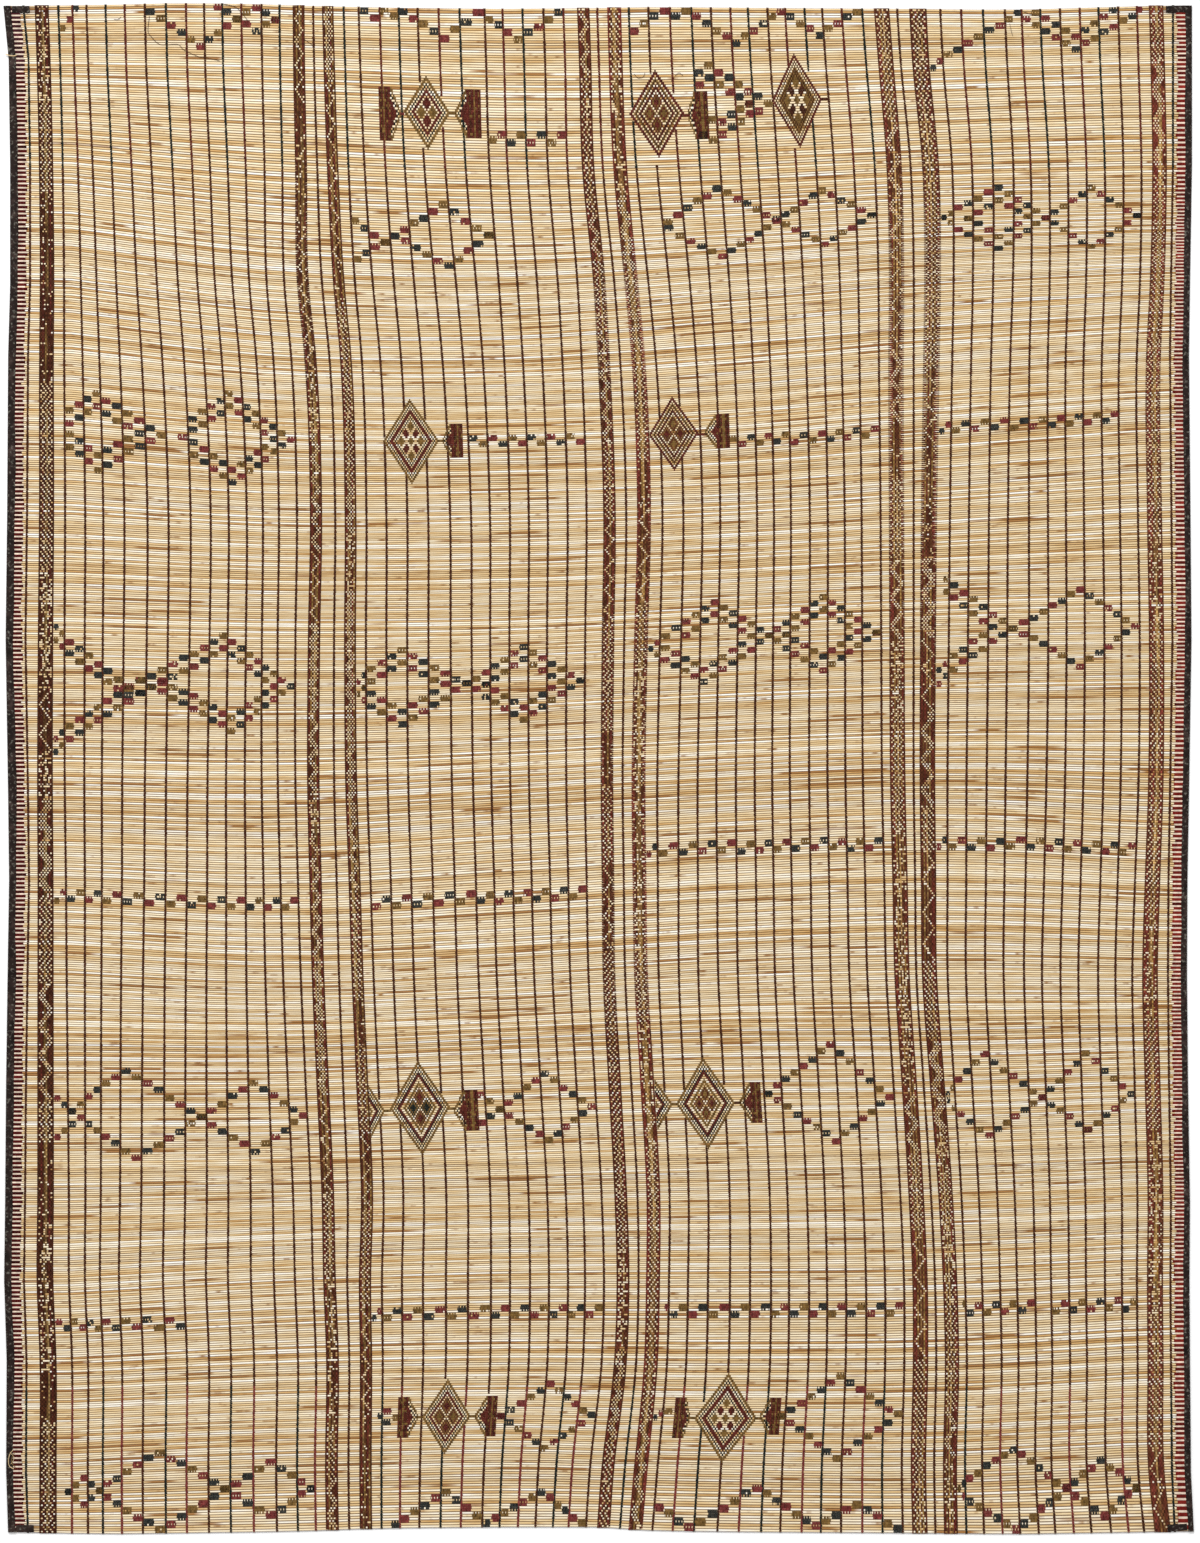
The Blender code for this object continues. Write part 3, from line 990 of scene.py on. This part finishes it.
def hourglass(bundle, panel, apex, base, half_height, block_width):
    """A triangle from its apex to its base, with a solid block of strands behind the base."""
    side = 1 if base > apex[0] else -1
    high = round(half_height * PHOTO_MM_A_PIXEL / STEM_PITCH)
    strands = max(round(abs(base - apex[0]) * PHOTO_MM_A_PIXEL / STRAND), 3)
    chosen = []
    for k in range(strands):
        reach = round(high * (k + 1) / strands)
        for r in range(-reach, reach + 1):
            name = HOURGLASS_RINGS[min(reach - abs(r), len(HOURGLASS_RINGS) - 1)]
            if name:
                chosen.append((side * k, r, name))
    columns = HOURGLASS_COLUMNS
    solid = round(block_width * PHOTO_MM_A_PIXEL / STRAND)
    for k in range(solid):
        name = columns[min(k * len(columns) // solid, len(columns) - 1)]
        for r in range(-high, high + 1):
            fleck = rng.random() < FLECK_CHANCE and abs(r) < high
            chosen.append((side * (strands + k), r, "olive" if fleck else name))
    stitch(bundle, panel, apex, STRAND, chosen)


def link(bundle, panel, first, last, name):
    """A short row of cells over one stem, from one motif to the next."""
    middle = ((first[0] + last[0]) / 2, (first[1] + last[1]) / 2)
    half = round(abs(last[0] - first[0]) * PHOTO_MM_A_PIXEL / STRAND / 2)
    stitch(bundle, panel, middle, STRAND, [(k, 0, name) for k in range(-half, half + 1)])


BLOCK_LINES = table(
    "panel pixels start turn",
    (0, ((79, 9), (61, 29)), 0, -1),
    (0, ((151, 11), (200, 46), (235, 18), (256, 7), (274, 19)), 0, 1),
    (0, ((219, 7), (226, 12), (235, 18), (256, 32), (274, 19)), 2, 1),
    (1, ((364, 10), (374, 17), (384, 11)), 0, -1),
    (1, ((393, 17), (404, 11), (445, 38), (481, 13), (519, 39), (557, 13)), 1, -1),
    (2, ((635, 31), (663, 10)), 2, -1),
    (2, ((680, 16), (690, 10), (740, 43), (781, 11), (817, 35), (855, 11)), 0, 1),
    (3, ((931, 68), (1019, 13), (1078, 49), (1141, 10)), 0, -1),
    (3, ((1040, 13), (1078, 37), (1117, 11)), 1, 1),
    (1, ((356, 222), (384, 242), (444, 205), (491, 236)), 1, -1),
    (1, ((358, 259), (384, 242)), 1, -1),
    (1, ((405, 242), (448, 266), (491, 236)), 2, 1),
    (2, ((701, 72), (710, 66), (768, 103)), 0, 1),
    (2, ((703, 84), (712, 78.5), (762, 110)), 2, 1),
    (2, ((703, 134.5), (712.6, 140.5), (752.6, 114)), 0, 1),
    (2, ((710, 121), (713, 127), (751, 103)), 1, 1),
    (2, ((669, 222), (713, 188), (777, 219), (825, 245), (868, 215)), 1, 1),
    (2, ((668, 229), (718, 257), (777, 221), (821, 190), (868, 215)), 0, 1),
    (3, ((945, 218), (999, 187), (1046, 217), (1093, 247), (1139, 216)), 0, 1),
    (3, ((945, 218), (1000, 249), (1046, 217), (1093, 187), (1139, 216)), 0, 1),
    (3, ((967, 218), (1001, 200), (1027, 217), (1000, 236), (967, 218)), 1, 1),
    (0, ((72, 411), (99, 393), (166, 436), (98, 470), (70, 446)), 1, 1),
    (0, ((69, 424), (99, 407), (145, 434), (98, 456), (71, 435)), 2, 1),
    (0, ((197, 419), (230, 394), (291, 440), (234, 483), (198, 455)), 0, 1),
    (0, ((197, 431), (232, 407), (273, 440), (233, 470), (198, 443)), 0, 1),
    (0, ((178, 436), (188, 436)), 2, 1),
    (0, ((55, 627), (146, 694)), 0, 1),
    (0, ((53, 640), (105, 682), (125, 694)), 1, 1),
    (0, ((55, 739), (146, 681.5), (219, 636), (290, 687), (231, 731), (146, 681.5)), 2, 1),
    (0, ((55, 752), (156, 688), (219, 649), (274, 687), (230, 718), (167, 681.5)), 0, 1),
    (1, ((356, 682), (400, 651), (467, 684), (526, 720), (583, 681)), 2, 1),
    (1, ((357, 695), (400, 724.5), (467, 684), (524, 648), (583, 681)), 1, 1),
    (1, ((362, 688), (401, 663), (441.5, 685), (400, 712), (362, 688)), 0, 1),
    (1, ((486, 684), (525, 659), (563, 681.5), (526, 707), (486, 684)), 2, 1),
    (2, ((650, 649), (715, 601.5), (771, 636), (824, 670.5), (876, 632)), 0, -1),
    (2, ((655, 655), (708, 682), (771, 636), (822, 597), (876, 632)), 1, 1),
    (2, ((667, 648), (708, 670), (752, 637), (715, 614), (689, 636)), 1, 1),
    (2, ((787, 635), (822, 609), (858, 632), (823, 657), (787, 635)), 0, 1),
    (3, ((943, 579), (1017, 628), (1079, 666), (1137, 626), (1081, 589), (1017, 628), (940, 683)), 1, -1),
    (3, ((944, 591), (995, 628), (939, 671)), 1, 1),
    (0, ((56, 1098), (81, 1117.5), (140, 1157), (204, 1118)), 2, 1),
    (0, ((204, 1118), (256, 1083), (301, 1116), (259, 1151), (204, 1118), (124, 1070), (72, 1111)), 0, -1),
    (0, ((58, 1137), (73, 1124)), 2, -1),
    (1, ((484, 1095), (502, 1109), (550, 1141), (594, 1107), (547, 1074), (502, 1109), (485, 1123)), 2, -1),
    (2, ((767, 1093), (830, 1045), (894, 1097), (835, 1141), (767, 1093)), 1, 1),
    (3, ((947, 1095), (965, 1072), (980, 1055), (1040, 1098), (1090, 1130)), 0, 1),
    (3, ((1090, 1130), (1129, 1094), (1086, 1054), (1040, 1098), (990, 1136), (947, 1100)), 2, -1),
    (0, ((65, 1491), (83, 1479), (101, 1491), (161, 1452), (225, 1490), (270, 1516), (309, 1488)), 0, 1),
    (0, ((309, 1488), (270, 1463), (225, 1490), (165, 1530), (101, 1491), (85, 1504), (65, 1491)), 0, -1),
    (1, ((379, 1417), (387, 1411), (394, 1418), (387, 1423)), 0, -1),
    (1, ((500, 1416), (551, 1384), (592, 1416), (546, 1448), (500, 1416)), 1, -1),
    (2, ((657, 1418), (664, 1411), (669, 1417), (664, 1424)), 0, -1),
    (2, ((781, 1417), (838, 1376), (896, 1415), (838, 1458), (781, 1417)), 1, -1),
    (3, ((961, 1490), (1013, 1449), (1068, 1489), (1105, 1516), (1136, 1487)), 1, -1),
    (3, ((1136, 1487), (1101, 1460), (1068, 1489), (1017, 1531), (961, 1490)), 1, -1),
    (1, ((396, 1525), (444.6, 1492), (490, 1524), (540, 1492), (583.5, 1524)), 0, -1),
    (2, ((658, 1506.5), (689, 1528), (756.5, 1488), (819, 1527), (858, 1503.6), (898.5, 1529)), 2, -1),
)

CHECKER_ROWS = table(
    "panel first last start turn low",
    (1, (494, 137), (561, 139), 1, 1, 0),
    (1, (472, 442), (581, 439), 0, 1, 1),
    (2, (735, 441), (874, 433), 1, 1, 0),
    (3, (942, 428), (1114, 418), 0, -1, 0),
    (0, (55, 896.5), (295, 904), 1, 1, 0),
    (1, (375, 902.5), (579, 893.5), 2, 1, 0),
    (2, (647.5, 850), (875.5, 844), 2, 1, 0),
    (3, (938.6, 843), (1128, 849), 2, 1, 0),
    (0, (57.7, 1325.3), (176.2, 1323), 2, 1, 1),
    (1, (373, 1313.8), (598.8, 1311), 0, -1, 0),
    (2, (666, 1310), (900.4, 1309.3), 2, 1, 0),
    (3, (963, 1308.4), (1030.6, 1307.5), 1, -1, 0),
    (3, (1059, 1307), (1132.8, 1304.5), 1, 1, 0),
)

# Colours from the rim inwards, and None where bare stems show
RIM = ("olive", "olive", None, "black", None)
HOURGLASS_RINGS = (*RIM, "maroon")
HOURGLASS_COLUMNS = ("maroon", "brown", "maroon", "olive", "maroon", "brown", "maroon")
OLIVE_RINGS = (*RIM, "maroon", "maroon", "maroon", None, "black", None)
WIDE_RINGS = (*RIM, "black", "maroon", "maroon", None, None, "olive", "olive", None)
SMALL_RINGS = (*RIM, "maroon", "maroon", None)
RED_RINGS = ("maroon", "maroon", None, "olive", "brown", None, "maroon", "brown", None)
BROWN_RINGS = ("maroon", "maroon", None, "brown", None, "olive", "brown", "olive", "brown")

DIAMONDS = table(
    "panel centre half_width half_height rings lozenges hearts",
    (1, (426.9, 112.9), 23.4, 35.8, SMALL_RINGS, 2, ("olive", "maroon")),
    (2, (656.8, 114.5), 27.5, 43.8, RED_RINGS, 2, ("olive", "maroon")),
    (2, (797, 101), 25, 46, BROWN_RINGS, 3, ("olive", "brown")),
    (1, (411, 440.6), 28, 42.7, OLIVE_RINGS, 3, ("olive", "maroon")),
    (2, (673.5, 433.8), 25, 36.6, RED_RINGS, 2, ("maroon", "olive")),
    (1, (360, 1111), 25, 42, WIDE_RINGS, 1, ("brown", "maroon")),
    (1, (420, 1108.5), 30, 46, WIDE_RINGS, 2, ("black", "maroon")),
    (2, (648, 1106), 25, 38, WIDE_RINGS, 1, ("brown", "maroon")),
    (2, (705.5, 1103), 29.5, 45, WIDE_RINGS, 2, ("maroon", "olive")),
    (1, (446.3, 1416), 24.5, 37, SMALL_RINGS, 2, ("olive", "maroon")),
    (2, (725.5, 1417.5), 31.5, 45.5, OLIVE_RINGS, 3, ("olive", "maroon")),
)

HOURGLASSES = table(
    "panel apex base half_height block_width",
    (1, (400, 113), 390, 20.5, 11.7),
    (1, (455.7, 113), 468, 19, 14),
    (2, (688.8, 114.5), 696.5, 19, 13),
    (1, (443.3, 440), 451.5, 18, 11),
    (2, (705.7, 433), 718, 17.3, 13),
    (1, (454.5, 1110), 466.3, 19, 13.7),
    (2, (740.3, 1102), 752.5, 20.4, 10),
    (1, (417.2, 1417.7), 407.5, 19.4, 10.5),
    (1, (475.7, 1415.7), 487.2, 20.2, 10.2),
    (2, (689, 1417.9), 683.3, 19, 10.5),
    (2, (760.6, 1417.4), 770.3, 18, 9.7),
)

LINKS = table(
    "panel first last name",
    (1, (400, 113), (404, 113), "crimson"),
    (1, (450, 113), (456, 113), "olive"),
    (2, (684, 114.5), (689, 114.5), "maroon"),
    (2, (822, 100), (829, 100), "brown"),
    (1, (438, 440), (443.5, 440), "olive"),
    (2, (698.5, 433.5), (706, 433.5), "maroon"),
    (1, (385, 1110), (390, 1110), "olive"),
    (1, (449, 1109), (455, 1109), "olive"),
    (2, (673, 1105), (676.5, 1105), "olive"),
    (2, (734.5, 1102), (741, 1102), "brown"),
    (1, (417, 1417), (422, 1416.5), "olive"),
    (1, (470, 1415.5), (476, 1415.5), "olive"),
    (2, (688, 1417.8), (694, 1417.5), "olive"),
    (2, (756.5, 1417.5), (761, 1417.5), "olive"),
)


def make_motifs(material):
    """The motifs, in one piece for each panel."""
    bundles = [Gathered() for _ in range(4)]
    for line in BLOCK_LINES:
        block_line(bundles[line.panel], *line)
    for row in CHECKER_ROWS:
        checker_row(bundles[row.panel], *row)
    for d in DIAMONDS:
        diamond(bundles[d.panel], *d)
    for h in HOURGLASSES:
        hourglass(bundles[h.panel], *h)
    for stub in LINKS:
        link(bundles[stub.panel], *stub)
    for number, bundle in enumerate(bundles, 1):
        bundle.piece(f"motifs_{number}", material, "strip_leather")


# Leather at the edges


def edge_bars(side, material):
    """Red and cream leather by turns over the stems beside a binding, with ragged inner ends."""
    stems = np.arange(1, STEMS - 1)
    y = stem_y(np.full(len(stems), -INWARD[side] * BAR_X), stems + 0.5)
    edge = side_x(y, side)
    long = rng.normal(EDGE_BAR[side], BAR_RAGGED, len(stems))
    near = edge + INWARD[side] * (BINDING[side] - BAR_TUCK)
    far = edge + INWARD[side] * (BINDING[side] + long)
    x0, x1 = np.minimum(near, far), np.maximum(near, far)
    cuts = [x0 + (x1 - x0) * k / BAR_CELLS for k in range(BAR_CELLS + 1)]
    high = (y - COURSE_Y[0]) / (COURSE_Y[-1] - COURSE_Y[0])
    red = stems % 2 == 1
    dark = np.where(high > WINE_ABOVE, "wine", "brick") if side == "left" else "rust"
    name = np.where(red, dark, "cream")
    shade = rng.normal(1.0, np.where(red, 0.25, 0.05)).clip(0.4, 1.7)[:, None]
    dyes = np.minimum(np.array([DYES[n] for n in name]) * shade, 0.97)
    bundle = Gathered()
    spread = np.where(red, BAR_SPREAD, -BAR_SPREAD)
    for a, b in zip(cuts, cuts[1:]):
        cells(bundle, a, b, stems, dyes, spread, BAR_VALLEY)
    bundle.piece(f"edge_bars_{side}", material, "strip_leather")


THREADS = table(
    "pixels radius dye",
    (
        ((149.5, 16), (148, 31), (151.5, 37), (158, 43.5), (165, 45), (178, 44.5), (184, 50), (200, 57.5)),
        0.5,
        "brown",
    ),
    (((200, 57.5), (207, 58), (220, 61)), 0.45, "brown"),
    (((223.5, 4), (235, 7), (241, 12), (248, 21)), 0.55, "brown"),
    (((114, 19.5), (118, 19.5), (121, 17)), 0.45, "brown"),
    (((304, 39), (308, 42), (313, 45.5)), 0.45, "brown"),
    (((634, 74), (638, 78), (643, 77), (645, 73)), 0.45, "brown"),
    (((675, 76), (679, 73), (683, 76)), 0.45, "brown"),
    (((1023, 11.5), (1031, 14.5), (1040, 16)), 0.5, "brown"),
    (((1009.5, 23.5), (1011, 30), (1012.5, 36)), 0.4, "brown"),
    (((5.5, 54), (9, 55.5), (14, 56), (17, 55)), 1.1, "straw"),
    (((13, 1450), (10, 1454), (8.5, 1460), (9.5, 1466), (14, 1469)), 0.7, "straw"),
    (((15, 1452), (12, 1457), (12, 1463), (16, 1468)), 0.6, "khaki"),
    (((10, 1452), (14, 1458), (11, 1464)), 0.5, "straw"),
)


def make_threads(material):
    """Loose threads and a tuft of grass fibre that lie on the mat."""
    bundle = Gathered()
    for thread in THREADS:
        stops = np.array([spot(pixel) for pixel in thread.pixels])
        at = np.linspace(0, len(stops) - 1, 8 * len(stops))
        steps = np.arange(len(stops))
        x, y = smooth(at, steps, stops[:, 0]), smooth(at, steps, stops[:, 1])
        z = FOLDED_HEIGHT + THREAD_LIFT + THREAD_WAVE * np.sin(at * 2.0) ** 2
        along = np.column_stack([np.gradient(x), np.gradient(y)])
        along /= np.linalg.norm(along, axis=1)[:, None]
        points = np.empty((len(at), THREAD_SIDES + 1, 3))
        for side in range(THREAD_SIDES + 1):
            angle = -side * 2 * math.pi / THREAD_SIDES
            points[:, side, 0] = x - along[:, 1] * thread.radius * math.cos(angle)
            points[:, side, 1] = y + along[:, 0] * thread.radius * math.cos(angle)
            points[:, side, 2] = z + thread.radius * math.sin(angle)
        bundle.grid(points, DYES[thread.dye])
    bundle.piece("threads", material, "strip_leather")


def fold_section(width, lift):
    """A closed outline of leather folded round an edge, as (distance in, z); lift raises its top."""
    half = width * 0.5
    lip = width - 0.7
    inside = width - 0.4
    outer = [(width, 4.15), (lip, 4.78 + lift), (half, 4.82 + lift), (2.4, 4.78), (0.7, 4.1)]
    turn = [(0.0, 2.4), (0.7, 0.6), (2.4, 0.05), (half, 0.0), (lip, 0.0), (width, 0.4)]
    inner = [(inside, 1.0), (half, 1.0), (1.9, 1.1), (1.05, 2.4), (1.9, 3.7), (half, 3.8), (inside, 3.8)]
    return outer + turn + inner


def folded_piece(name, places, widths, lifts, material, node):
    """Leather folded over an edge; places(k, d) gives x and y at station k, d millimetres in."""
    sections = [fold_section(width, lift) for width, lift in zip(widths, lifts)]
    points = np.array([[(*places(k, d), z) for d, z in section] for k, section in enumerate(sections)])
    stations, around = points.shape[:2]
    index = np.arange(stations * around).reshape(stations, around)
    after = np.roll(index, -1, axis=1)
    quads = np.stack([index[:-1], after[:-1], after[1:], index[1:]], -1).reshape(-1, 4)
    caps = []
    for ring, flip in ((index[0], 1), (index[-1], -1)):
        for a, b in zip(range(0, 8), range(1, 9)):
            far_a, far_b = around - 1 - a, around - 1 - b
            caps.append([ring[i] for i in (a, b, far_b, far_a)][::flip])
    quads = np.concatenate([quads, np.array(caps)])
    obj = mesh_piece(name, points.reshape(-1, 3), quads, material)
    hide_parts(node)
    return obj


def make_binding(side, material):
    """The leather folded over one side, its width and the height of its top wandering a little along it."""
    stations = STEMS + 1
    s = np.linspace(0, STEMS, stations)
    y = stem_y(np.full(stations, -INWARD[side] * BINDING_X), s)
    edge = side_x(y, side)
    widths = BINDING[side] + wander(stations, 22, 0.9) + wander(stations, 4, 0.35) - 0.3
    lifts = 0.05 * np.cos(s * 2 * math.pi) + wander(stations, 12, 0.03)
    places = lambda k, d: (edge[k] + INWARD[side] * d, y[k])
    return folded_piece(f"binding_{side}_leather", places, widths, lifts, material, f"binding_{side}")


def make_corner(end, side, material):
    """The short piece of leather folded over an end edge beside a binding."""
    stations = 25
    into, row = (-1, COURSES[0]) if end == "top" else (1, COURSES[-1])
    edge = getattr(row, side)
    x = edge + INWARD[side] * np.linspace(BINDING[side] + 0.3, CORNER_REACH, stations)
    y = end_y(x, end)
    widths = CORNER_WIDTH - 1.2 + wander(stations, 5, 0.5)
    places = lambda k, d: (x[k] + (side_x(y[k] + into * d, side) - edge), y[k] + into * d)
    name = f"corner_{end}_{side}"
    return folded_piece(f"{name}_leather", places, widths, np.zeros(stations), material, name)


# Camera, light and floor

LENS = 120.0
SENSOR = 36.0
KEY_PLACE = (-3.2, 8.0, 9.6)
KEY_SIZE = 4.0
KEY_POWER = 1130.0
WORLD_STRENGTH = 0.75
FLOOR_REACH = 15.0


def camera():
    data = bpy.data.cameras.new("camera")
    data.lens = LENS
    data.sensor_width = SENSOR
    data.clip_end = 100.0
    obj = bpy.data.objects.new("camera", data)
    x, y = PHOTO_CENTRE
    distance = PHOTO_HEIGHT * PHOTO_MM_A_PIXEL * LENS / SENSOR
    obj.location = (x * MM, y * MM, (distance + STEM_TOP) * MM)
    bpy.context.scene.collection.objects.link(obj)
    bpy.context.scene.camera = obj


def key_light():
    """A broad soft light aimed at the middle of the mat."""
    data = bpy.data.lights.new("key", "AREA")
    data.shape = "DISK"
    data.size = KEY_SIZE
    data.energy = KEY_POWER
    obj = bpy.data.objects.new("key", data)
    bpy.context.scene.collection.objects.link(obj)
    obj.location = KEY_PLACE
    x, y, z = KEY_PLACE
    obj.rotation_euler = (math.atan2(math.hypot(x, y), z), 0.0, math.atan2(-y, -x) - math.pi / 2)


def white_world():
    world = bpy.data.worlds.new("studio")
    world.use_nodes = True
    background = world.node_tree.nodes["Background"]
    background.inputs["Color"].default_value = (1.0, 1.0, 1.0, 1.0)
    background.inputs["Strength"].default_value = WORLD_STRENGTH
    bpy.context.scene.world = world
    bpy.context.scene.view_settings.view_transform = "Standard"


def pale_floor():
    mesh = bpy.data.meshes.new("floor")
    far = FLOOR_REACH
    corners = [(-far, -far, 0.0), (far, -far, 0.0), (far, far, 0.0), (-far, far, 0.0)]
    mesh.from_pydata(corners, [], [(0, 1, 2, 3)])
    m = Nodes("floor_white")
    mesh.materials.append(m.to_shader(Base_Color=(0.93, 0.93, 0.93, 1.0), Roughness=0.9))
    floor = bpy.data.objects.new("floor", mesh)
    bpy.context.scene.collection.objects.link(floor)


camera()
white_world()
key_light()
pale_floor()
leather = leather_material()
stem_pieces = make_stems(stem_material())
make_strips(leather)
for band in range(len(BAND_STRANDS)):
    make_band(band, leather)
for piece in stem_pieces:
    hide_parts("mat_panel")
edge = edge_material()
make_motifs(leather)
make_threads(leather)
for side, flat_width, corner_length in (("left", 0.037, 0.036), ("right", 0.031, 0.039)):
    edge_bars(side, leather)
    binding = make_binding(side, edge)
    for end in ("top", "bottom"):
        corner = make_corner(end, side, edge)
